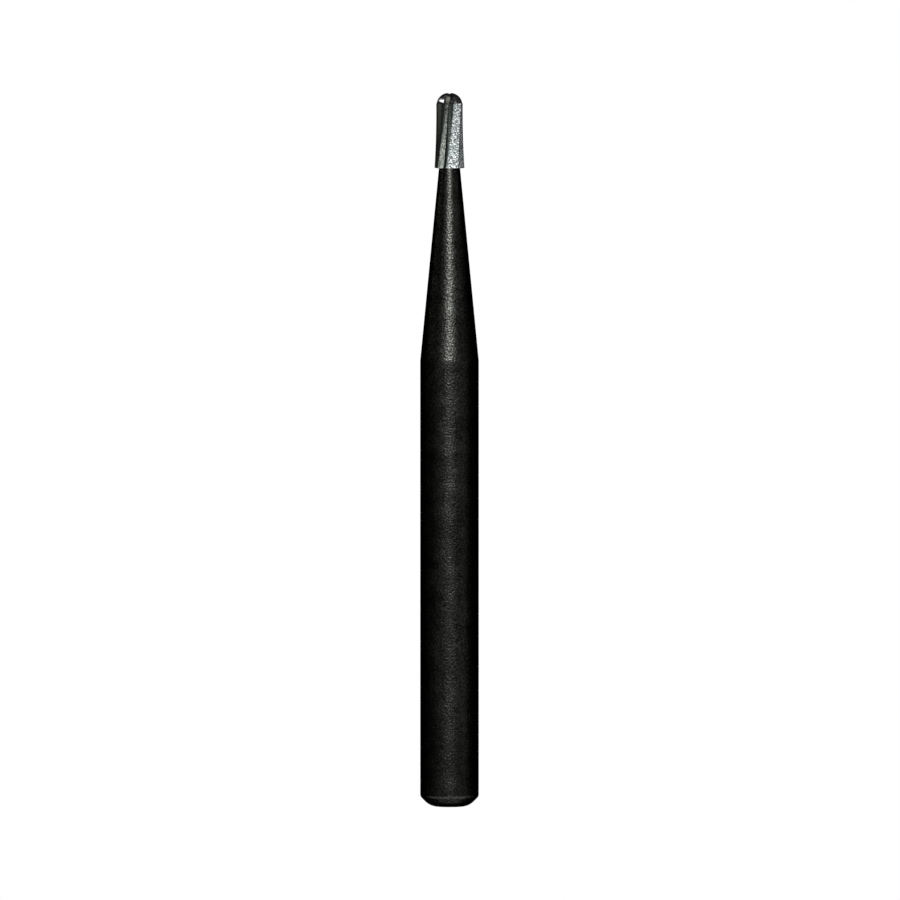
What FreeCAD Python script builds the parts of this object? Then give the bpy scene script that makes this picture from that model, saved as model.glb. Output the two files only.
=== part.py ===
import FreeCAD
import Part

import math
import os

# A friction-grip dental bur: a fluted carbide cutting head bonded to the end of a
# black-coated steel shank. Sizes are in millimetres and angles in degrees.
# The origin is the centre of the shank's flat end, and +Z runs along the axis to the tip.
# Angles round the axis are measured from the front, -Y, and grow towards +X.

# Shank
SHANK_DIAMETER = 1.60
GRIP_LENGTH = 12.18  # flat end to the start of the neck
END_BEVEL = 0.28  # legs of the 45 degree bevel at the flat end
END_BLEND_RADIUS = 0.50  # rounds the bevel into the flat end
GRIP_BLEND_RADIUS = 0.15  # rounds the bevel into the grip

# Neck
NECK_LENGTH = 5.25
NECK_TIP_DIAMETER = 0.58

# Outline of the cutting head: its blade edges lie on this envelope
HEAD_BODY_LENGTH = 1.77  # bonded base to the shoulder of the dome
HEAD_BASE_DIAMETER = 0.828
HEAD_WAIST_DIAMETER = 0.776
HEAD_SHOULDER_DIAMETER = 0.814
DOME_HEIGHT = 0.296
TIP_FLAT_DIAMETER = 0.14  # where the blades meet on top of the dome
BASE_RELIEF_ANGLE = 8.0  # the base falls away from the neck towards its rim
BASE_RIM_BREAK = 0.015

# Blades
BLADE_COUNT = 6
FIRST_EDGE_ANGLE = -21.1  # of the front blade's edge at the base
BODY_TWIST = 18.7  # right-hand, base to shoulder
DOME_TWIST = 18.0  # right-hand, shoulder to tip
DOME_TWIST_EASE = 1.4  # above 1, the edges turn quicker near the shoulder

# Flutes: a radial rake face, a round gullet floor and the flat back of the next blade
BASE_FLUTE_DEPTH = 0.068
SHOULDER_FLUTE_DEPTH = 0.170
BASE_FLOOR_ANGLE = 3.0  # how far the gullet floor runs round the axis
SHOULDER_FLOOR_ANGLE = 30.0

# Flutes of the dome: a step shallower than the body's, and shallower still towards the tip
DOME_FLUTE_DEPTH = 0.154  # at the shoulder
DOME_FLUTE_FADE = 2.45  # power of the edge radius that the depth follows

# Rake faces of the dome lean back at the shoulder and stand upright at the tip. They start
# above a foot that rises towards the blade's edge.
DOME_RAKE_LEAN = 24.5
DOME_RAKE_FOOT_RISE = 0.075

# Gash across the top, which parts the blades at the centre
GASH_DEPTH = 0.024
GASH_FLANK_ANGLE = 20.0  # each flank above the horizontal

BODY_SECTION_COUNT = 6
DOME_SECTION_COUNT = 7
OVERSHOOT = 0.20  # how far the cutting shapes run past what they cut

GRIP_RADIUS = SHANK_DIAMETER / 2
NECK_TIP_RADIUS = NECK_TIP_DIAMETER / 2
SHOULDER_RADIUS = HEAD_SHOULDER_DIAMETER / 2
NECK_Z = GRIP_LENGTH
BASE_Z = NECK_Z + NECK_LENGTH
SHOULDER_Z = BASE_Z + HEAD_BODY_LENGTH
TIP_Z = SHOULDER_Z + DOME_HEIGHT
DOME_RADIUS = (SHOULDER_RADIUS**2 + DOME_HEIGHT**2) / (2 * DOME_HEIGHT)
DOME_CENTRE_Z = TIP_Z - DOME_RADIUS
PITCH = 360.0 / BLADE_COUNT
AXIS = FreeCAD.Vector(0, 0, 1)
ORIGIN = FreeCAD.Vector(0, 0, 0)


def profile_point(radius, height):
    """A point of a turned outline, in the XZ plane."""
    return FreeCAD.Vector(radius, 0, height)


def polar_point(radius, angle, height):
    """A point at an angle from the front, growing towards +X."""
    turn = math.radians(angle)
    return FreeCAD.Vector(radius * math.sin(turn), -radius * math.cos(turn), height)


def between(share, start, end):
    """The value at a share of the way from a start to an end value."""
    return start + share * (end - start)


def rounded_corner(before, corner, after, radius):
    """Start, middle and end of the arc of that radius which rounds a corner."""
    back = (before - corner).normalize()
    ahead = (after - corner).normalize()
    half = back.getAngle(ahead) / 2
    reach = radius / math.tan(half)
    inward = (back + ahead).normalize()
    middle = corner + inward * (radius / math.sin(half) - radius)
    return corner + back * reach, middle, corner + ahead * reach


def turned(edges):
    """The solid that a closed outline in the XZ plane sweeps round the axis."""
    face = Part.Face(Part.Wire([edge.toShape() for edge in edges]))
    return face.revolve(ORIGIN, AXIS, 360)


def turned_polygon(corners):
    """The solid that straight sides between corners sweep round the axis."""
    sides = zip(corners, corners[1:] + corners[:1])
    return turned([Part.LineSegment(start, end) for start, end in sides])


def shank_solid():
    """Grip, bevelled end and tapering neck, turned in one piece."""
    centre_low = profile_point(0, 0)
    bevel_low = profile_point(GRIP_RADIUS - END_BEVEL, 0)
    bevel_high = profile_point(GRIP_RADIUS, END_BEVEL)
    neck_foot = profile_point(GRIP_RADIUS, NECK_Z)
    neck_tip = profile_point(NECK_TIP_RADIUS, BASE_Z)
    centre_high = profile_point(0, BASE_Z)
    flat_rim, end_middle, bevel_start = rounded_corner(
        centre_low, bevel_low, bevel_high, END_BLEND_RADIUS
    )
    bevel_end, grip_middle, grip_start = rounded_corner(
        bevel_low, bevel_high, neck_foot, GRIP_BLEND_RADIUS
    )
    return turned(
        [
            Part.LineSegment(centre_low, flat_rim),
            Part.Arc(flat_rim, end_middle, bevel_start),
            Part.LineSegment(bevel_start, bevel_end),
            Part.Arc(bevel_end, grip_middle, grip_start),
            Part.LineSegment(grip_start, neck_foot),
            Part.LineSegment(neck_foot, neck_tip),
            Part.LineSegment(neck_tip, centre_high),
            Part.LineSegment(centre_high, centre_low),
        ]
    )


def blade_section(height, radius, depth, floor_angle, lean, first_edge):
    """Closed outline across the blades: a rake face, a gullet floor and a back for each."""
    edges = []
    root = radius - depth
    for blade in range(BLADE_COUNT):
        angle = first_edge + blade * PITCH
        edge = polar_point(radius, angle, height)
        rake_foot = polar_point(root, angle + lean, height)
        floor_middle = polar_point(root, angle + (lean + floor_angle) / 2, height)
        back_foot = polar_point(root, angle + floor_angle, height)
        next_edge = polar_point(radius, angle + PITCH, height)
        edges.append(Part.LineSegment(edge, rake_foot))
        edges.append(Part.Arc(rake_foot, floor_middle, back_foot))
        edges.append(Part.LineSegment(back_foot, next_edge))
    return Part.Wire([edge.toShape() for edge in edges])


def body_radius(share):
    """Radius of the blade edges: a parabola through base, waist and shoulder."""
    diameter = (
        HEAD_BASE_DIAMETER * (1 - share) * (1 - 2 * share)
        + HEAD_WAIST_DIAMETER * 4 * share * (1 - share)
        + HEAD_SHOULDER_DIAMETER * share * (2 * share - 1)
    )
    return diameter / 2


def body_section(share):
    """The blades' outline at a share of the way from the base to the shoulder."""
    return blade_section(
        between(share, BASE_Z, SHOULDER_Z),
        body_radius(share),
        between(share, BASE_FLUTE_DEPTH, SHOULDER_FLUTE_DEPTH),
        between(share, BASE_FLOOR_ANGLE, SHOULDER_FLOOR_ANGLE),
        0,
        between(share, FIRST_EDGE_ANGLE, FIRST_EDGE_ANGLE + BODY_TWIST),
    )


def dome_section(turn, shoulder_lean):
    """The shoulder's outline, shrunk to the dome's sphere, at a share of the turn to the tip."""
    share = turn**DOME_TWIST_EASE
    lean = shoulder_lean * (1 - share)
    shoulder_sweep = math.asin(SHOULDER_RADIUS / DOME_RADIUS)
    tip_sweep = math.asin(TIP_FLAT_DIAMETER / 2 / DOME_RADIUS)
    sweep = between(share, shoulder_sweep, tip_sweep)
    radius = DOME_RADIUS * math.sin(sweep)
    shrink = radius / SHOULDER_RADIUS
    return blade_section(
        DOME_CENTRE_Z + DOME_RADIUS * math.cos(sweep),
        radius,
        DOME_FLUTE_DEPTH * shrink**DOME_FLUTE_FADE,
        SHOULDER_FLOOR_ANGLE,
        lean,
        FIRST_EDGE_ANGLE + BODY_TWIST + DOME_TWIST * turn,
    )


def lofted(section, count):
    """A solid through evenly spaced sections, from share 0 to share 1."""
    return Part.makeLoft([section(step / (count - 1)) for step in range(count)], True)


def rake_foot_ring():
    """Ring under the dome's leaning rake faces: its top rises towards the blade edges."""
    root = SHOULDER_RADIUS - DOME_FLUTE_DEPTH
    slope = DOME_RAKE_FOOT_RISE / DOME_FLUTE_DEPTH
    outer_radius = SHOULDER_RADIUS + OVERSHOOT
    outer_z = SHOULDER_Z + (outer_radius - root) * slope
    return turned_polygon(
        [
            profile_point(root, SHOULDER_Z),
            profile_point(outer_radius, outer_z),
            profile_point(outer_radius, SHOULDER_Z - OVERSHOOT),
            profile_point(root, SHOULDER_Z - OVERSHOOT),
        ]
    )


def base_trim():
    """Ring that leaves the base slightly coned, with its rim broken."""
    rim_radius = HEAD_BASE_DIAMETER / 2
    outer_radius = rim_radius + OVERSHOOT
    slope = math.tan(math.radians(BASE_RELIEF_ANGLE))
    break_radius = rim_radius - BASE_RIM_BREAK
    break_z = BASE_Z + (break_radius - NECK_TIP_RADIUS) * slope
    return turned_polygon(
        [
            profile_point(NECK_TIP_RADIUS, BASE_Z),
            profile_point(break_radius, break_z),
            profile_point(outer_radius, break_z + outer_radius - break_radius),
            profile_point(outer_radius, BASE_Z - OVERSHOOT),
            profile_point(NECK_TIP_RADIUS, BASE_Z - OVERSHOOT),
        ]
    )


def tip_gash():
    """V-shaped bar lying front to back across the top of the dome."""
    half_width = GASH_DEPTH + OVERSHOOT
    rise = half_width * math.tan(math.radians(GASH_FLANK_ANGLE))
    bottom = TIP_Z - GASH_DEPTH
    reach = HEAD_SHOULDER_DIAMETER
    corners = [
        FreeCAD.Vector(0, -reach, bottom),
        FreeCAD.Vector(half_width, -reach, bottom + rise),
        FreeCAD.Vector(-half_width, -reach, bottom + rise),
    ]
    face = Part.Face(Part.makePolygon(corners + corners[:1]))
    return face.extrude(FreeCAD.Vector(0, 2 * reach, 0))


def dome_solid():
    """Fluted dome: upright rake faces at its foot, and leaning ones above them."""
    upright = lofted(lambda turn: dome_section(turn, 0), DOME_SECTION_COUNT)
    leaning = lofted(lambda turn: dome_section(turn, DOME_RAKE_LEAN), DOME_SECTION_COUNT)
    foot = rake_foot_ring()
    return leaning.cut(foot).fuse(upright.common(foot))


def cutting_head_solid():
    """Fluted body and fluted dome in one piece, with a coned base and a gashed tip."""
    body = lofted(body_section, BODY_SECTION_COUNT)
    return body.fuse(dome_solid()).cut(base_trim()).cut(tip_gash())


def write_part(name, shape):
    """Writes one sub-part as its own STEP file."""
    solids = shape.Solids
    part = solids[0] if len(solids) == 1 else Part.makeCompound(solids)
    part.exportStep(os.path.join("parts", name + ".step"))
    print(name, len(solids), "solid", part.isValid(), "volume", round(part.Volume, 5))


os.makedirs("parts", exist_ok=True)
write_part("shank", shank_solid())
write_part("cutting_head", cutting_head_solid())
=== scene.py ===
import math

import bpy
import numpy as np
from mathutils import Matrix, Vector


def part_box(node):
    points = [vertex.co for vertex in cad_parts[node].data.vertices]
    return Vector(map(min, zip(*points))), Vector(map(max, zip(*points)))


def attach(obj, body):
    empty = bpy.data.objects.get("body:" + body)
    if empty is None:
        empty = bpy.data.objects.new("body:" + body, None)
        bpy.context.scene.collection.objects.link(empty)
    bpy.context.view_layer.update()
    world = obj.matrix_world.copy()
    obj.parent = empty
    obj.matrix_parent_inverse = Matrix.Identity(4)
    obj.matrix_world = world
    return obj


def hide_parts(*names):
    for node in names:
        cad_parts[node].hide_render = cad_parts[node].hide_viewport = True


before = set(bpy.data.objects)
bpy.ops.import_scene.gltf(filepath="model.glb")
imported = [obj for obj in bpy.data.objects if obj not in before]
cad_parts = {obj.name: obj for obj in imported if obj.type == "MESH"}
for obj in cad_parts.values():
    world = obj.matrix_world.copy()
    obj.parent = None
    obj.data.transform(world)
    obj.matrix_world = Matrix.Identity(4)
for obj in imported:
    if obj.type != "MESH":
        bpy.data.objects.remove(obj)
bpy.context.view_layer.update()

# Looks of a dental bur that stands upright on +Z: a ground carbide cutting head on a
# black-coated shank. Lengths are in millimetres up to the line that makes a mesh, which
# turns them into metres. Angles are in degrees, and those round the axis start at the
# front, -Y, and grow towards +X. Colours are shares of red, green and blue light.
MM = 0.001
shank_low, shank_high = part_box("shank")
_, head_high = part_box("cutting_head")

# Levels that follow the frame
SHANK_RADIUS = shank_high.x / MM
SEAT_Z = shank_high.z / MM
TOP_Z = head_high.z / MM

# Shank
NECK_LENGTH = 5.25
NECK_TIP_RADIUS = 0.29
END_BEVEL = 0.28
END_BLEND_RADIUS = 0.50
GRIP_BLEND_RADIUS = 0.15

# Cutting head
BODY_LENGTH = 1.77
BASE_RADIUS = 0.414
WAIST_RADIUS = 0.388
SHOULDER_RADIUS = 0.407
TIP_FLAT_RADIUS = 0.07
DOME_HEIGHT = 0.296
BASE_RELIEF_ANGLE = 8.0
BASE_RIM_BREAK = 0.008
BLADE_COUNT = 6
FIRST_EDGE_ANGLE = -21.1
BODY_TWIST = 18.7
DOME_TWIST = 18.0
DOME_TWIST_EASE = 1.4
BASE_FLUTE_DEPTH = 0.068
SHOULDER_FLUTE_DEPTH = 0.170
BASE_FLOOR_ANGLE = 3.0
SHOULDER_FLOOR_ANGLE = 30.0
DOME_FLUTE_DEPTH = 0.154
DOME_FLUTE_FADE = 2.45
DOME_RAKE_LEAN = 24.5
DOME_RAKE_FOOT_RISE = 0.075
DOME_RAKE_FOOT_START = 0.010
LEDGE_STEP = 0.002
GASH_DEPTH = 0.024
GASH_FLANK_ANGLE = 20.0
PITCH = 360.0 / BLADE_COUNT
SHOULDER_Z = SEAT_Z + BODY_LENGTH
DOME_SPHERE_RADIUS = (SHOULDER_RADIUS**2 + DOME_HEIGHT**2) / (2 * DOME_HEIGHT)
DOME_SPHERE_Z = SHOULDER_Z + DOME_HEIGHT - DOME_SPHERE_RADIUS

# Rows and columns of the shank's mesh, and the angle over which its edges stay sharp
SHANK_COLUMNS = 256
UNDERSIDE_ROWS, END_BLEND_ROWS, BEVEL_ROWS, GRIP_BLEND_ROWS = 4, 25, 3, 20
GRIP_ROWS, NECK_ROWS, SEAT_ROWS = 48, 40, 2
SHANK_CREASE = 4.0

# Rows of the head's mesh, its columns along one blade's outline, the ring that closes the
# base as a share of the neck's radius, and the angle over which edges stay sharp
BODY_ROWS, FOOT_ROWS, DOME_ROWS, CAP_ROWS = 150, 13, 64, 14
RAKE_POINTS, FLOOR_POINTS, BACK_POINTS = 14, 12, 22
INNER_RING_SHARE = 0.5
HEAD_CREASE = 9.0

# How far the painted shade along a blade edge, a dark line, reaches on the rake side, on the
# back and on the dome, and the shares of that reach between which it fades
RAKE_EDGE_REACH = 0.065
BACK_EDGE_REACH = 0.034
DOME_EDGE_REACH = 0.030
EDGE_FADE = (0.4, 1.0)

# Where one tone of painted light and shade gives way to the next, as places along a blade's
# outline: the rake face is 0 to 1, the gullet floor 1 to 2 and the back 2 to 3
RAKE_FADE = (0.9, 1.0)
FLUTE_RISE = (0.8, 1.0)
FLUTE_FADE = (2.0, 2.14)
DOME_BACK_RISE = (1.9, 2.1)

# Painted highlight, a glint, on each blade's facet on the dome: its strength per blade, and
# the heights over the shoulder where it fades
PAINTED_FACET_GLINT = (0.4, 0.5, 0.3, 0.6, 0.4, 1.0)
PAINTED_GLINT_LOW = 0.065
PAINTED_GLINT_HIGH = 0.115

BLACK = (0.0, 0.0, 0.0)
WHITE = (1.0, 1.0, 1.0)

# Detail and roughness of the grain's three noises, and the value that noise lies around
HEIGHT_NOISE = (0.0, 0.5)
SPECK_NOISE = (2.0, 0.75)
BLOTCH_NOISE = (4.0, 0.6)
NOISE_MIDDLE = 0.5

# Coating: grains and blotches per millimetre and the specks' softness, then its colours.
# Blotches dim it down to a share. Where it turns away from the view, painted shade takes it
# to a deeper black, from one facing value to another and up to a share.
COATING_GRAIN = (20.0, 2.2, 0.3)
COATING_SPECKS = ((0.0, (0.015, 0.015, 0.014)), (1.0, (0.088, 0.091, 0.083)))
COATING_BLOTCH_RANGE = (0.35, 0.65)
COATING_DIMNESS = (0.6, 1.0)
COATING_PAINTED_SHADE = (0.001, 0.001, 0.001)
COATING_FACING_RANGE = (0.08, 0.5)
COATING_PAINTED_SHADE_SHARE = 0.8
COATING_ROUGHNESS_RANGE = (0.3, 0.7)
COATING_ROUGHNESS = (0.28, 0.33)
COATING_BUMP = 0.0065

# Carbide: the same numbers for its grain, its colours from dark to bright specks, the colour
# and share of its blotches, and how metallic it is on the body and on the dome
CARBIDE_GRAIN = (24.0, 3.0, 0.2)
CARBIDE_SPECKS = (
    (0.0, (0.045, 0.053, 0.054)),
    (0.5, (0.135, 0.144, 0.143)),
    (1.0, (0.420, 0.433, 0.433)),
)
CARBIDE_BLOTCH = (0.090, 0.140, 0.145)
CARBIDE_BLOTCH_RANGE = (0.45, 0.65)
CARBIDE_BLOTCH_SHARE = 0.3
CARBIDE_ROUGHNESS = (0.31, 0.27)
CARBIDE_METALLIC = (0.7, 0.85)
CARBIDE_BUMP = 0.0025

# Places of the head that have their own tone: the name of the share kept at the vertices,
# the value of it at which the tone is full, how much of the tone is then mixed in, and the
# tone. Each row goes over those before it. Every tone here is painted light and shade: painted
# shade darker towards the shoulder, in the gullet floors, on the body's rake faces and more
# so towards the base, over the dome, less deep on the dome's blade backs and deep again on
# its rake faces; a painted glint at the foot of the dome's facets; and a dark line of painted
# shade along the blade edges.
CARBIDE_TONES = (
    # Painted shade: darker towards the shoulder
    ("height_share", 0.9, 0.3, (0.030, 0.031, 0.031)),
    # Painted shade in the gullet floors, fading up their sides
    ("flute", 1.0, 0.9, (0.022, 0.029, 0.025)),
    # Painted shade on the body's rake faces
    ("rake", 1.0, 0.7, (0.105, 0.102, 0.082)),
    # Painted shade on the body's rake faces, deeper towards the base
    ("body_rake", 0.6, 0.9, (0.010, 0.010, 0.009)),
    # Painted shade over the dome, less deep on its blade backs and deep again on its rake faces
    ("dome", 1.0, 0.9, (0.022, 0.022, 0.021)),
    ("dome_back", 1.0, 0.85, (0.052, 0.052, 0.050)),
    ("dome_facet", 1.0, 0.9, (0.032, 0.033, 0.033)),
    # Painted highlight: a bright glint at the foot of the dome's facets
    ("painted_facet_glint", 1.0, 1.0, (0.450, 0.455, 0.455)),
    # Painted shade: a dark line along the blade edges
    ("edge", 1.0, 0.95, (0.010, 0.010, 0.009)),
)

# Surroundings: a sphere of black cloth round the bur, cut into walls and a roof, and a pale
# round table far below
STUDIO_Z = 12.0
TENT_RADIUS = 260.0
TENT_REACH = 140.0
TENT_LOW = -50.0
TENT_BREAK = -5.0
TENT_COLUMNS, TENT_ROWS = 57, 29
CLOTH_COLOUR, CLOTH_ROUGHNESS = (0.01, 0.01, 0.01), 1.0
TABLE_Z = -60.0
TABLE_RADIUS = 150.0
TABLE_RINGS, TABLE_COLUMNS = 5, 96
TABLE_COLOUR, TABLE_ROUGHNESS = (0.9, 0.9, 0.9), 0.9
FAINT_SHINE = 0.1

# Lamps, which all face one height of the axis: name, azimuth, distance from the axis,
# height, width, length, radiance and colour
AIM_Z = 18.0
WARM = (1.0, 1.0, 0.88)
LAMPS = (
    ("front_lamp", 0.5, 150.0, 62.0, 62.0, 21.0, 27.0, WHITE),
    ("front_fill", 0.0, 150.0, 64.0, 210.0, 53.0, 0.8, WHITE),
    ("low_fill", 0.0, 80.0, 10.0, 270.0, 30.0, 0.17, WHITE),
    ("low_right_fill", 60.0, 100.0, 4.0, 40.0, 16.0, 0.5, WHITE),
    ("right_rear_lamp", 130.0, 45.0, 15.5, 18.0, 5.0, 5.5, WHITE),
    ("right_high_lamp", 75.0, 45.0, 41.0, 40.0, 20.0, 1.4, WHITE),
    ("left_rear_lamp", -124.0, 45.0, 23.5, 26.0, 13.0, 3.5, WARM),
    ("left_high_lamp", -106.0, 40.0, 46.0, 36.0, 32.0, 5.5, WARM),
)

# Photograph's frame: the height of the view at the bur's axis, where it looks from, how far
# it aims to the side, the lens and sensor, and in metres the nearest and furthest it sees
VIEW_HEIGHT = 24.57
VIEW_ELEVATION = 1.75
VIEW_SIDE = 0.0137
LENS = 600.0
SENSOR = 36.0
VIEW_NEAREST, VIEW_FURTHEST = 0.01, 10.0


def smooth(value, low, high):
    """0 below low and 1 above high, with a cubic ease between them."""
    share = np.clip((value - low) / (high - low), 0.0, 1.0)
    return share * share * (3.0 - 2.0 * share)


def grid_mesh(name, points, low_pole, high_pole):
    """A closed skin from a grid of points (rows up, columns round, last axis x, y, z in
    millimetres). Neighbouring rows and columns make four-sided faces, columns close on
    themselves, and each end row is closed with triangles to its pole."""
    rows, columns = points.shape[:2]
    vertices = np.concatenate([points.reshape(-1, 3), [low_pole, high_pole]]) * MM
    index = np.arange(rows * columns).reshape(rows, columns)
    ahead = np.roll(index, -1, axis=1)
    quads = np.stack([index[:-1], ahead[:-1], ahead[1:], index[1:]], axis=-1).reshape(-1, 4)
    low = np.full(columns, rows * columns)
    low_fan = np.stack([ahead[0], index[0], low], axis=-1)
    high_fan = np.stack([index[-1], ahead[-1], low + 1], axis=-1)
    faces = quads.tolist() + low_fan.tolist() + high_fan.tolist()
    mesh = bpy.data.meshes.new(name)
    mesh.from_pydata(vertices.tolist(), [], faces)
    mesh.validate()
    return mesh


def add_object(name, mesh, material):
    """Puts a mesh of one material in the scene."""
    mesh.materials.append(material)
    piece = bpy.data.objects.new(name, mesh)
    bpy.context.scene.collection.objects.link(piece)
    return piece


def place(name, mesh, node, material, crease):
    """Puts a mesh in the scene in place of its node, smooth but for creases over an angle."""
    mesh.shade_smooth()
    mesh.set_sharp_from_angle(angle=math.radians(crease))
    piece = add_object(name, mesh, material)
    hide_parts(node)
    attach(piece, "root")


def store(mesh, name, values):
    """Keeps one number per vertex under a name that the materials read."""
    layer = mesh.attributes.new(name, "FLOAT", "POINT")
    layer.data.foreach_set("value", values.astype(np.float32).ravel())


def arc(centre, radius, start, end, count):
    """Points of an arc in the profile plane: centre plus radius times the unit vector at
    angles spread evenly from start to end degrees, measured from the outward direction."""
    angle = np.radians(np.linspace(start, end, count))
    return np.stack([centre[0] + radius * np.cos(angle), centre[1] + radius * np.sin(angle)], -1)


def run(start, end, count):
    """Evenly spaced points of a straight run, both ends left out."""
    share = np.linspace(0.0, 1.0, count + 2)[1:-1, None]
    return (1.0 - share) * np.array(start) + share * np.array(end)


def shank_profile():
    """Radius and height along the turned outline: the flat end, a blend that turns 45
    degrees into the bevel, a second that turns upright into the grip, then the neck's cone.
    Each blend starts its radius times tan 22.5 degrees before its corner."""
    reach = math.tan(math.radians(22.5))
    flat_radius = SHANK_RADIUS - END_BEVEL - END_BLEND_RADIUS * reach
    blend_top = END_BEVEL + GRIP_BLEND_RADIUS * reach
    end_centre = (flat_radius, END_BLEND_RADIUS)
    end_blend = arc(end_centre, END_BLEND_RADIUS, -90, -45, END_BLEND_ROWS)
    grip_centre = (SHANK_RADIUS - GRIP_BLEND_RADIUS, blend_top)
    grip_blend = arc(grip_centre, GRIP_BLEND_RADIUS, -45, 0, GRIP_BLEND_ROWS)
    neck_foot = (SHANK_RADIUS, SEAT_Z - NECK_LENGTH)
    neck_tip = (NECK_TIP_RADIUS, SEAT_Z)
    return np.concatenate(
        [
            run((0.0, 0.0), end_blend[0], UNDERSIDE_ROWS),
            end_blend,
            run(end_blend[-1], grip_blend[0], BEVEL_ROWS),
            grip_blend,
            run(grip_blend[-1], neck_foot, GRIP_ROWS),
            [neck_foot],
            run(neck_foot, neck_tip, NECK_ROWS),
            [neck_tip],
            run(neck_tip, (0.0, SEAT_Z), SEAT_ROWS),
        ]
    )


def shank_mesh():
    """The outline turned round the axis: x is the radius times the sine of the turn, y minus
    the radius times its cosine, and z the height."""
    profile = shank_profile()
    turn = np.linspace(0.0, 2 * math.pi, SHANK_COLUMNS + 1)[:-1]
    radius, height = profile[:, 0:1], profile[:, 1:2]
    points = np.stack(
        [radius * np.sin(turn), -radius * np.cos(turn), height + 0.0 * turn], axis=-1
    )
    return grid_mesh("shank_coated", points, (0, 0, 0), (0, 0, SEAT_Z))


def blade_radius(share):
    """Radius of the blade edges: a parabola through base, waist and shoulder radii."""
    return (
        BASE_RADIUS * (1 - share) * (1 - 2 * share)
        + WAIST_RADIUS * 4 * share * (1 - share)
        + SHOULDER_RADIUS * share * (2 * share - 1)
    )


def envelope(height):
    """Edge radius, flute depth, floor angle, first edge's angle and share of the dome's lean
    at a height. On the body they go straight from base to shoulder, the radius along its
    parabola. On the dome the radius is that of a sphere through the shoulder and the top, the
    flutes' depth follows a power of it, the edges turn by a root of the share of the sphere's
    sweep, and the lean falls evenly with that share."""
    share = np.clip((height - SEAT_Z) / BODY_LENGTH, 0.0, 1.0)
    rise = np.clip(height - DOME_SPHERE_Z, 0.0, DOME_SPHERE_RADIUS)
    sweep = np.arccos(rise / DOME_SPHERE_RADIUS)
    start = math.asin(SHOULDER_RADIUS / DOME_SPHERE_RADIUS)
    end = math.asin(TIP_FLAT_RADIUS / DOME_SPHERE_RADIUS)
    on_dome = height > SHOULDER_Z
    radius = np.where(on_dome, DOME_SPHERE_RADIUS * np.sin(sweep), blade_radius(share))
    shrink = np.where(on_dome, radius / SHOULDER_RADIUS, 1.0)
    body_depth = BASE_FLUTE_DEPTH + share * (SHOULDER_FLUTE_DEPTH - BASE_FLUTE_DEPTH)
    depth = np.where(on_dome, DOME_FLUTE_DEPTH * shrink**DOME_FLUTE_FADE, body_depth)
    floor = BASE_FLOOR_ANGLE + share * (SHOULDER_FLOOR_ANGLE - BASE_FLOOR_ANGLE)
    dome_share = np.where(on_dome, (start - sweep) / (start - end), 0.0)
    dome_share = np.clip(dome_share, 0.0, 1.0)
    turn = dome_share ** (1 / DOME_TWIST_EASE)
    first = FIRST_EDGE_ANGLE + share * BODY_TWIST + turn * DOME_TWIST
    return radius, depth, floor, first, 1 - dome_share


def blade_columns():
    """Place along one blade's outline: 0 to 1 down the rake face, 1 to 2 along the gullet
    floor and 2 to 3 up the next blade's back."""
    return np.concatenate(
        [
            np.linspace(0, 1, RAKE_POINTS, endpoint=False),
            np.linspace(1, 2, FLOOR_POINTS, endpoint=False),
            np.linspace(2, 3, BACK_POINTS, endpoint=False),
        ]
    )


def outline(height, place_along, lean):
    """Radius and angle of points on one blade's outline at their heights. The rake face runs
    straight from the edge to the root, which lies lean degrees ahead, the floor runs round at
    the root's radius, and the back runs straight from the floor's end to the next edge."""
    radius, depth, floor, first, lean_share = envelope(height)
    lean = lean * lean_share
    root = radius - depth
    down = np.clip(place_along, 0, 1)
    round_floor = np.clip(place_along - 1, 0, 1)
    up = np.clip(place_along - 2, 0, 1)
    across = down * root * np.sin(np.radians(lean))
    outward = (1 - down) * radius + down * root * np.cos(np.radians(lean))
    on_floor = place_along >= 1
    floor_angle = np.radians(lean + round_floor * (floor - lean))
    across = np.where(on_floor, root * np.sin(floor_angle), across)
    outward = np.where(on_floor, root * np.cos(floor_angle), outward)
    on_back = place_along >= 2
    foot_angle, edge_angle = np.radians(floor), math.radians(PITCH)
    foot_x, foot_y = root * np.sin(foot_angle), root * np.cos(foot_angle)
    edge_x, edge_y = radius * math.sin(edge_angle), radius * math.cos(edge_angle)
    across = np.where(on_back, (1 - up) * foot_x + up * edge_x, across)
    outward = np.where(on_back, (1 - up) * foot_y + up * edge_y, outward)
    return np.hypot(across, outward), np.degrees(np.arctan2(across, outward)) + first


def all_round(radius, angle, height):
    """Repeats one blade's points round the axis and gives x, y, z."""
    turns = [np.radians(angle + blade * PITCH) for blade in range(BLADE_COUNT)]
    return np.concatenate(
        [
            np.stack([radius * np.sin(turn), -radius * np.cos(turn), height], axis=-1)
            for turn in turns
        ],
        axis=1,
    )


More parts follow.
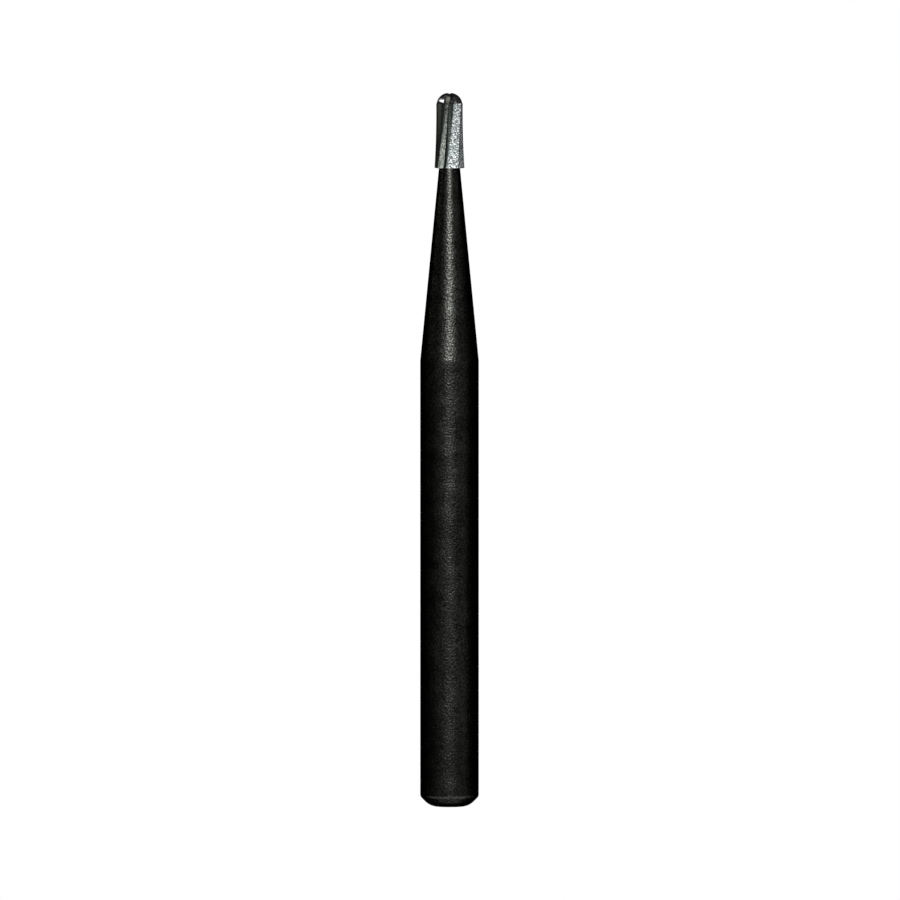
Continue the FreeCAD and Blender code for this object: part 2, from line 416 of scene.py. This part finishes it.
def head_rows():
    """Heights and leans of the head's rows over one blade's columns. Body rows go evenly from
    the coned base to the shoulder. Foot rows climb to the ledge under the dome's leaning rake
    faces, which is higher at the blade edges than at the roots. Dome rows go on to the flat."""
    column = blade_columns()
    at_edge = np.where(column < 1, 1 - column, np.clip(column - 2, 0, 1))
    base_radius, _ = outline(np.full(column.shape, SEAT_Z), column, 0.0)
    slope = math.tan(math.radians(BASE_RELIEF_ANGLE))
    base = SEAT_Z + (base_radius - BASE_RIM_BREAK - NECK_TIP_RADIUS) * slope + BASE_RIM_BREAK
    climb = DOME_RAKE_FOOT_RISE - DOME_RAKE_FOOT_START
    ledge = SHOULDER_Z + DOME_RAKE_FOOT_START + at_edge * climb
    flat = DOME_SPHERE_Z + math.sqrt(DOME_SPHERE_RADIUS**2 - TIP_FLAT_RADIUS**2)
    body = base + np.linspace(0, 1, BODY_ROWS)[:, None] * (SHOULDER_Z - base)
    foot = SHOULDER_Z + np.linspace(0, 1, FOOT_ROWS + 1)[1:, None] * (ledge - SHOULDER_Z)
    upper = ledge + LEDGE_STEP
    dome = upper + np.linspace(0, 1, DOME_ROWS)[:, None] * (flat - upper)
    height = np.concatenate([body, foot, dome])
    lean = np.zeros((len(height), 1))
    lean[len(body) + len(foot) :] = DOME_RAKE_LEAN
    return height, lean, column


def head_mesh():
    """The blades' outline carried up the head, with the base and the tip closed. The base goes
    in to the neck over a slight cone. The tip goes in flat to the axis, and everything near it
    is lowered to the gash: height is at most the gash's floor plus the distance from the
    gash's middle plane times the tangent of its flank angle."""
    height, lean, column = head_rows()
    radius, angle = outline(height, column + 0 * height, lean + 0 * height)
    rim_radius, rim_angle = radius[:1] - BASE_RIM_BREAK, angle[:1]
    level = 0 * rim_radius
    rim = all_round(rim_radius, rim_angle, height[:1] - BASE_RIM_BREAK)
    seat = all_round(NECK_TIP_RADIUS + level, rim_angle, SEAT_Z + level)
    inner = all_round(INNER_RING_SHARE * NECK_TIP_RADIUS + level, rim_angle, SEAT_Z + level)
    base = np.concatenate([inner, seat, rim])
    skin = all_round(radius, angle, height)
    shrink = np.linspace(1, 0, CAP_ROWS + 2)[1:-1, None]
    cap = all_round(radius[-1:] * shrink, angle[-1:] + 0 * shrink, height[-1:] + 0 * shrink)
    points = np.concatenate([base, skin, cap])
    flank = math.tan(math.radians(GASH_FLANK_ANGLE))
    gash = TOP_Z - GASH_DEPTH + np.abs(points[..., 0]) * flank
    points[..., 2] = np.minimum(points[..., 2], gash)
    mesh = grid_mesh("head_ground", points, (0, 0, SEAT_Z), (0, 0, TOP_Z - GASH_DEPTH))
    on_dome = np.concatenate([np.zeros(len(base)), lean[:, 0] > 0, np.ones(len(cap))])
    store_head_places(mesh, points, column, on_dome[:, None])
    return mesh


def edge_shares(points, column, above):
    """1 on the blade edges, fading to 0 over the reach of their dark line of painted shade. The
    distance is the shorter one to the edges behind and ahead in the same row."""
    place_along = np.tile(column, BLADE_COUNT)
    behind = np.repeat(points[:, :: len(column)], len(column), axis=1)
    ahead = np.roll(behind, -len(column), axis=1)
    distance = np.minimum(
        np.linalg.norm(points - behind, axis=-1), np.linalg.norm(points - ahead, axis=-1)
    )
    reach = np.where(place_along < 1, RAKE_EDGE_REACH, BACK_EDGE_REACH)
    reach = np.where(above > 0, DOME_EDGE_REACH, reach)
    return 1 - smooth(distance / reach, *EDGE_FADE)


def store_head_places(mesh, points, column, on_dome):
    """Keeps the shares from 0 to 1 that the carbide reads to place its painted light and shade.
    edge is 1 on the blade edges, where a dark line of painted shade goes. flute is 1 on the
    floors of the body's gullets and fades up both of their sides. height_share goes from 0 at
    the base to 1 at the shoulder. rake is 1 on the body's rake faces, and body_rake is rake
    times one minus height_share. dome_facet is 1 on the dome's rake faces, and
    painted_facet_glint is each blade's strength of a painted highlight at their foot and fades
    up the dome. dome_back is 1 on the dome's blade backs, and dome on all of the dome."""
    rows, columns = points.shape[:2]
    place_along = np.tile(column, BLADE_COUNT)
    height = points[..., 2]
    above = 1.0 * (height > SHOULDER_Z)
    in_flute = smooth(place_along, *FLUTE_RISE) * (1 - smooth(place_along, *FLUTE_FADE))
    on_back = smooth(place_along, *DOME_BACK_RISE) + (place_along == 0)
    on_rake = 1 - smooth(place_along, *RAKE_FADE)
    rise = np.clip((height - SEAT_Z) / BODY_LENGTH, 0.0, 1.0)
    # Heights between which the painted glint on the dome's facets fades
    glint_low, glint_high = SHOULDER_Z + PAINTED_GLINT_LOW, SHOULDER_Z + PAINTED_GLINT_HIGH
    near_foot = 1 - smooth(height, glint_low, glint_high)
    places = {
        "edge": edge_shares(points, column, above),
        "flute": in_flute * (1 - on_dome),
        "height_share": rise,
        "rake": on_rake * (1 - on_dome),
        "body_rake": on_rake * (1 - on_dome) * (1 - rise),
        "dome_facet": on_rake * on_dome,
        "painted_facet_glint": on_rake * on_dome * near_foot * np.repeat(PAINTED_FACET_GLINT, len(column)),
        "dome_back": on_back * above,
        "dome": above,
    }
    for name, values in places.items():
        spread = np.broadcast_to(values, (rows, columns)).reshape(-1)
        store(mesh, name, np.concatenate([spread, np.zeros(2)]))


def feed(tree, node, values):
    """Sets a node's inputs, by name or number, and links those that come from a socket."""
    for name, value in values.items():
        if isinstance(value, bpy.types.NodeSocket):
            tree.links.new(value, node.inputs[name])
        else:
            node.inputs[name].default_value = value


def noise(tree, coordinates, scale, detail, roughness):
    """Soft noise, mostly not far from its middle value."""
    node = tree.nodes.new("ShaderNodeTexNoise")
    texture = {"Vector": coordinates, "Scale": scale, "Detail": detail, "Roughness": roughness}
    feed(tree, node, texture)
    return node.outputs["Fac"]


def calculate(tree, operation, first, second):
    """One calculation with two values."""
    node = tree.nodes.new("ShaderNodeMath")
    node.operation = operation
    feed(tree, node, {0: first, 1: second})
    return node.outputs[0]


def map_range(tree, source, given, wanted=(0.0, 1.0)):
    """A value moved from a given range to a wanted one, and held inside it."""
    node = tree.nodes.new("ShaderNodeMapRange")
    feed(tree, node, {"Value": source, "From Min": given[0], "From Max": given[1]})
    feed(tree, node, {"To Min": wanted[0], "To Max": wanted[1]})
    return node.outputs["Result"]


def ramp(tree, source, stops):
    """Colours along a value: each stop is a position and a red, green and blue."""
    node = tree.nodes.new("ShaderNodeValToRGB")
    elements = node.color_ramp.elements
    while len(elements) < len(stops):
        elements.new(0.5)
    for element, (position, colour) in zip(elements, stops):
        element.position = position
        element.color = (*colour, 1.0)
    feed(tree, node, {"Fac": source})
    return node.outputs["Color"]


def mix_colour(tree, share, first, second, blend="MIX"):
    """Two colours mixed by a share, which is a socket or a number."""
    node = tree.nodes.new("ShaderNodeMix")
    node.data_type = "RGBA"
    node.blend_type = blend
    feed(tree, node, {0: share, 6: first, 7: second})
    return node.outputs[2]


def attribute(tree, name):
    """A number that the mesh keeps at its vertices."""
    node = tree.nodes.new("ShaderNodeAttribute")
    node.attribute_name = name
    return node.outputs["Fac"]


def grain_group():
    """Grain of a surface: a mask of fine specks, soft blotches, and a height to bump by. The
    specks go from 0 to 1 while their noise goes from half the softness under its middle value
    to half the softness over it."""
    group = bpy.data.node_groups.new("surface_grain", "ShaderNodeTree")
    sockets = group.interface
    sockets.new_socket("Coordinates", in_out="INPUT", socket_type="NodeSocketVector")
    for name in ("Grains per mm", "Blotches per mm", "Softness"):
        sockets.new_socket(name, in_out="INPUT", socket_type="NodeSocketFloat")
    for name in ("Specks", "Blotches", "Height"):
        sockets.new_socket(name, in_out="OUTPUT", socket_type="NodeSocketFloat")
    given = group.nodes.new("NodeGroupInput").outputs
    to_mm = group.nodes.new("ShaderNodeVectorMath")
    to_mm.operation = "SCALE"
    feed(group, to_mm, {0: given["Coordinates"], "Scale": 1 / MM})
    spot = to_mm.outputs["Vector"]
    height = noise(group, spot, given["Grains per mm"], *HEIGHT_NOISE)
    specks = noise(group, spot, given["Grains per mm"], *SPECK_NOISE)
    blotches = noise(group, spot, given["Blotches per mm"], *BLOTCH_NOISE)
    half = calculate(group, "MULTIPLY", given["Softness"], 0.5)
    low = calculate(group, "SUBTRACT", NOISE_MIDDLE, half)
    high = calculate(group, "ADD", NOISE_MIDDLE, half)
    mask = map_range(group, specks, (low, high))
    outside = group.nodes.new("NodeGroupOutput")
    feed(group, outside, {"Specks": mask, "Blotches": blotches, "Height": height})
    return group


def placed_grain(tree, group, grains, blotches, softness):
    """The grain group's outputs, on Object coordinates and with a material's own sizes."""
    node = tree.nodes.new("ShaderNodeGroup")
    node.node_tree = group
    coordinates = tree.nodes.new("ShaderNodeTexCoord").outputs["Object"]
    feed(tree, node, {"Coordinates": coordinates, "Grains per mm": grains})
    feed(tree, node, {"Blotches per mm": blotches, "Softness": softness})
    return node.outputs


def bump(tree, height, depth, shader):
    """Tilts the surface by a height, which stands for up to a depth in millimetres."""
    node = tree.nodes.new("ShaderNodeBump")
    feed(tree, node, {"Strength": 1.0, "Distance": depth * MM, "Height": height})
    feed(tree, shader, {"Normal": node.outputs["Normal"]})


def new_material(name):
    """A material, its tree and its Principled shader."""
    material = bpy.data.materials.new(name)
    material.use_nodes = True
    tree = material.node_tree
    return material, tree, tree.nodes["Principled BSDF"]


def coating_material(group):
    """Black satin coating: near black, with fine bright grains that glint in the highlight and
    soft blotches that dim it. Painted shade makes it blacker where it turns away from the view."""
    material, tree, shader = new_material("black_coating")
    grain = placed_grain(tree, group, *COATING_GRAIN)
    fine = ramp(tree, grain["Specks"], COATING_SPECKS)
    dimness = map_range(tree, grain["Blotches"], COATING_BLOTCH_RANGE, COATING_DIMNESS)
    blotched = mix_colour(
        tree, 1.0, fine, ramp(tree, dimness, ((0.0, BLACK), (1.0, WHITE))), "MULTIPLY"
    )
    # Painted shade: the colour goes towards a deeper black where the surface turns away from the
    # view
    weight = tree.nodes.new("ShaderNodeLayerWeight")
    feed(tree, weight, {"Blend": 0.5})
    facing = weight.outputs["Facing"]
    away = map_range(tree, facing, COATING_FACING_RANGE, (0.0, COATING_PAINTED_SHADE_SHARE))
    shaded_coating = mix_colour(tree, away, blotched, (*COATING_PAINTED_SHADE, 1.0))
    roughness = map_range(tree, grain["Blotches"], COATING_ROUGHNESS_RANGE, COATING_ROUGHNESS)
    feed(tree, shader, {"Base Color": shaded_coating, "Roughness": roughness, "Metallic": 1.0})
    feed(tree, shader, {"Specular Tint": (*BLACK, 1.0)})
    bump(tree, grain["Height"], COATING_BUMP, shader)
    return material


def carbide_material(group):
    """Ground carbide: mottled grey, with painted shade that darkens it towards the shoulder, in
    the gullets and on the rake faces, a dark line of painted shade along the blade edges, a dome
    darkened by painted shade, and a painted highlight, a bright glint, at the foot of its
    facets."""
    material, tree, shader = new_material("ground_carbide")
    grain = placed_grain(tree, group, *CARBIDE_GRAIN)
    mottled = ramp(tree, grain["Specks"], CARBIDE_SPECKS)
    blotch = map_range(
        tree, grain["Blotches"], CARBIDE_BLOTCH_RANGE, (0.0, CARBIDE_BLOTCH_SHARE)
    )
    colour = mix_colour(tree, blotch, mottled, (*CARBIDE_BLOTCH, 1.0))
    # Painted light and shade: each tone is mixed over the grain by its share
    for name, full_at, share, tone in CARBIDE_TONES:
        amount = map_range(tree, attribute(tree, name), (0.0, full_at), (0.0, share))
        colour = mix_colour(tree, amount, colour, (*tone, 1.0))
    roughness = map_range(tree, grain["Specks"], (0.0, 1.0), CARBIDE_ROUGHNESS)
    metallic = map_range(tree, attribute(tree, "dome"), (0.0, 1.0), CARBIDE_METALLIC)
    feed(tree, shader, {"Base Color": colour, "Roughness": roughness, "Metallic": metallic})
    feed(tree, shader, {"Specular IOR Level": 0.0, "Specular Tint": (*BLACK, 1.0)})
    bump(tree, grain["Height"], CARBIDE_BUMP, shader)
    return material


def plain_material(name, colour, roughness):
    """Matt material of one colour, for what stands round the bur."""
    material, tree, shader = new_material(name)
    feed(tree, shader, {"Base Color": (*colour, 1.0), "Roughness": roughness})
    feed(tree, shader, {"Specular IOR Level": FAINT_SHINE})
    return material


def tent_cloth(name, material, reach, low, high):
    """Black cloth round the bur, part of a sphere: azimuth runs from minus reach to reach and
    elevation from low to high on a grid. Only reflections show it."""
    turn, rise = np.meshgrid(
        np.radians(np.linspace(-reach, reach, TENT_COLUMNS)),
        np.radians(np.linspace(low, high, TENT_ROWS)),
    )
    points = np.stack(
        [np.sin(turn) * np.cos(rise), -np.cos(turn) * np.cos(rise), np.sin(rise)], axis=-1
    )
    points = (points * TENT_RADIUS + np.array([0, 0, STUDIO_Z])) * MM
    index = np.arange(TENT_ROWS * TENT_COLUMNS).reshape(TENT_ROWS, TENT_COLUMNS)
    faces = np.stack([index[:-1, :-1], index[:-1, 1:], index[1:, 1:], index[1:, :-1]], -1)
    mesh = bpy.data.meshes.new(name)
    mesh.from_pydata(points.reshape(-1, 3).tolist(), [], faces.reshape(-1, 4).tolist())
    tent = add_object(name, mesh, material)
    tent.visible_camera = False
    tent.visible_diffuse = False
    tent.visible_shadow = False


def dark_tent(material):
    """Keeps the white surroundings out of the faces that look to the front, the sides, the
    top and the upper part behind. The bur stays open to them low down behind, and below."""
    tent_cloth("tent_walls", material, TENT_REACH, TENT_LOW, TENT_BREAK)
    tent_cloth("tent_roof", material, 180.0, TENT_BREAK, 90.0)


def table_top(material):
    """Pale round table under the bur: rings from its middle to its rim, at one height."""
    ring = np.linspace(0, 1, TABLE_RINGS + 1)[1:, None] * TABLE_RADIUS
    turn = np.linspace(0, 2 * math.pi, TABLE_COLUMNS + 1)[:-1]
    points = np.stack([ring * np.cos(turn), ring * np.sin(turn), TABLE_Z + 0 * ring * turn], -1)
    index = np.arange(TABLE_RINGS * TABLE_COLUMNS).reshape(TABLE_RINGS, TABLE_COLUMNS)
    ahead = np.roll(index, -1, axis=1)
    faces = np.stack([index[:-1], index[1:], ahead[1:], ahead[:-1]], -1).reshape(-1, 4)
    vertices = np.concatenate([points.reshape(-1, 3), [[0, 0, TABLE_Z]]]) * MM
    middle = np.full(TABLE_COLUMNS, len(vertices) - 1)
    fan = np.stack([index[0], ahead[0], middle], -1)
    mesh = bpy.data.meshes.new("table_top")
    mesh.from_pydata(vertices.tolist(), [], faces.tolist() + fan.tolist())
    table = add_object("table_top", mesh, material)


def look_from(azimuth, elevation):
    """Unit vector from the bur towards an azimuth and elevation."""
    turn, rise = math.radians(azimuth), math.radians(elevation)
    level = math.cos(rise)
    return Vector((math.sin(turn) * level, -math.cos(turn) * level, math.sin(rise)))


def lamp(name, azimuth, reach, height, width, length, radiance, colour):
    """A rectangular soft lamp of one colour, so far from the axis and so high, that faces the
    head. Its power is its radiance times pi times its area, so it looks as bright whatever
    its size."""
    data = bpy.data.lights.new(name, "AREA")
    data.shape = "RECTANGLE"
    data.size, data.size_y = width * MM, length * MM
    data.energy = radiance * math.pi * data.size * data.size_y
    data.color = colour
    light = bpy.data.objects.new(name, data)
    light.location = look_from(azimuth, 0.0) * reach * MM + Vector((0, 0, height * MM))
    aim = light.location - Vector((0, 0, AIM_Z * MM))
    light.rotation_euler = aim.to_track_quat("Z", "Y").to_euler()
    light.visible_camera = False
    bpy.context.scene.collection.objects.link(light)


def white_world():
    """Plain white surroundings at strength 1."""
    world = bpy.data.worlds.new("white_surroundings")
    world.use_nodes = True
    background = world.node_tree.nodes["Background"]
    feed(world.node_tree, background, {"Color": (*WHITE, 1.0), "Strength": 1.0})
    bpy.context.scene.world = world


def camera():
    """Long lens that frames the bur as the photograph does. It stands back by the view's
    height times the lens over the sensor."""
    data = bpy.data.cameras.new("camera")
    data.sensor_width, data.lens = SENSOR, LENS
    data.clip_start, data.clip_end = VIEW_NEAREST, VIEW_FURTHEST
    view = bpy.data.objects.new("camera", data)
    direction = look_from(0.0, VIEW_ELEVATION)
    middle = Vector((VIEW_SIDE * MM, 0, (shank_low.z + head_high.z) / 2))
    view.location = middle + direction * (VIEW_HEIGHT * MM * LENS / SENSOR)
    view.rotation_euler = (-direction).to_track_quat("-Z", "Y").to_euler()
    bpy.context.scene.collection.objects.link(view)
    bpy.context.scene.camera = view


grain = grain_group()
coating = coating_material(grain)
place("shank_coated", shank_mesh(), "shank", coating, SHANK_CREASE)
carbide = carbide_material(grain)
place("head_ground", head_mesh(), "cutting_head", carbide, HEAD_CREASE)

dark_tent(plain_material("black_cloth", CLOTH_COLOUR, CLOTH_ROUGHNESS))
table_top(plain_material("pale_table", TABLE_COLOUR, TABLE_ROUGHNESS))
for settings in LAMPS:
    lamp(*settings)
white_world()
camera()
bpy.context.scene.view_settings.view_transform = "Standard"
